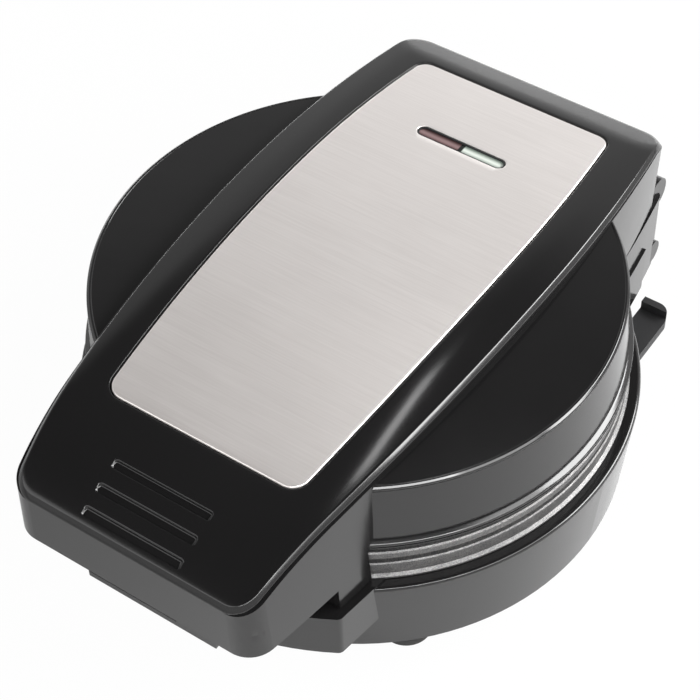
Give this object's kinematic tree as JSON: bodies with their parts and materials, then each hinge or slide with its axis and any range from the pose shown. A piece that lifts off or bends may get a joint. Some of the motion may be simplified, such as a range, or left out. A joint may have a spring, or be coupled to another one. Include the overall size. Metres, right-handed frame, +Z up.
{
  "type": "multi snack maker",
  "caption": "Round countertop snack cooker with a hinged lid, long handle bar with steel inlay, two coated cooking plates, a locking latch and rear stays.",
  "frame": {"origin": "on the table, under the axis of the round housings, midway between the handle's front and the hinge's back", "axes": "+Z up, -Y towards the handle, +Y towards the hinge, +X to the right of someone who faces the handle"},
  "size_m": [0.2303, 0.3012, 0.1172],
  "materials": {
    "black_moulding": "glossy black moulding",
    "dark_moulding": "fine matte black moulding",
    "foot_rubber": "dull black rubber",
    "plate_metal": "grey grained metal edge, dark non-stick coating on the cooking side",
    "brushed_sheet": "fine straight brushing, light warm grey",
    "red_lens": "clear dark red",
    "green_lens": "clear grey-green",
    "lamp_glass": "clear glass",
    "white_ceramic": "off-white moulding",
    "plated_steel": "plain plated steel"
  },
  "bodies": {
    "base": {"lower_housing": "black_moulding", "bottom_cover": "dark_moulding", "bottom_cover_screws": "plated_steel", "foot_front_right": "foot_rubber", "foot_front_left": "foot_rubber", "foot_rear_right": "foot_rubber", "foot_rear_left": "foot_rubber", "lower_cooking_plate": "plate_metal", "lower_plate_screws": "plated_steel", "lower_heating_element": "plated_steel", "lower_reflector": "plated_steel", "lower_element_clips": "plated_steel", "lower_thermostat": "plated_steel", "thermal_fuse": "plated_steel", "terminal_block": "white_ceramic", "cord_gland": "dark_moulding", "hinge_rod": "plated_steel", "latch_catch": "black_moulding"},
    "lid": {"upper_housing": "black_moulding", "top_cover": "black_moulding", "cover_screws": "plated_steel", "steel_inlay": "brushed_sheet", "window_bezel": "dark_moulding", "power_lens": "red_lens", "ready_lens": "green_lens", "power_lamp": "lamp_glass", "ready_lamp": "lamp_glass", "lamp_holder": "dark_moulding", "upper_cooking_plate": "plate_metal", "upper_plate_screws": "plated_steel", "upper_heating_element": "plated_steel", "upper_reflector": "plated_steel", "upper_element_clips": "plated_steel", "upper_thermostat": "plated_steel", "latch_pin": "plated_steel"},
    "latch": {"latch": "black_moulding", "latch_hook": "black_moulding"}
  },
  "joints": [
    {"name": "lid_hinge", "type": "hinge", "parent": "base", "child": "lid", "pos_m": [0, 0.1429, 0.0667], "axis": [-1, 0, 0], "range_deg": [0, 100]},
    {"name": "latch_pivot", "type": "hinge", "parent": "lid", "child": "latch", "pos_m": [0, -0.1385, 0.079], "axis": [-1, 0, 0], "range_deg": [-6, 12]}
  ]
}
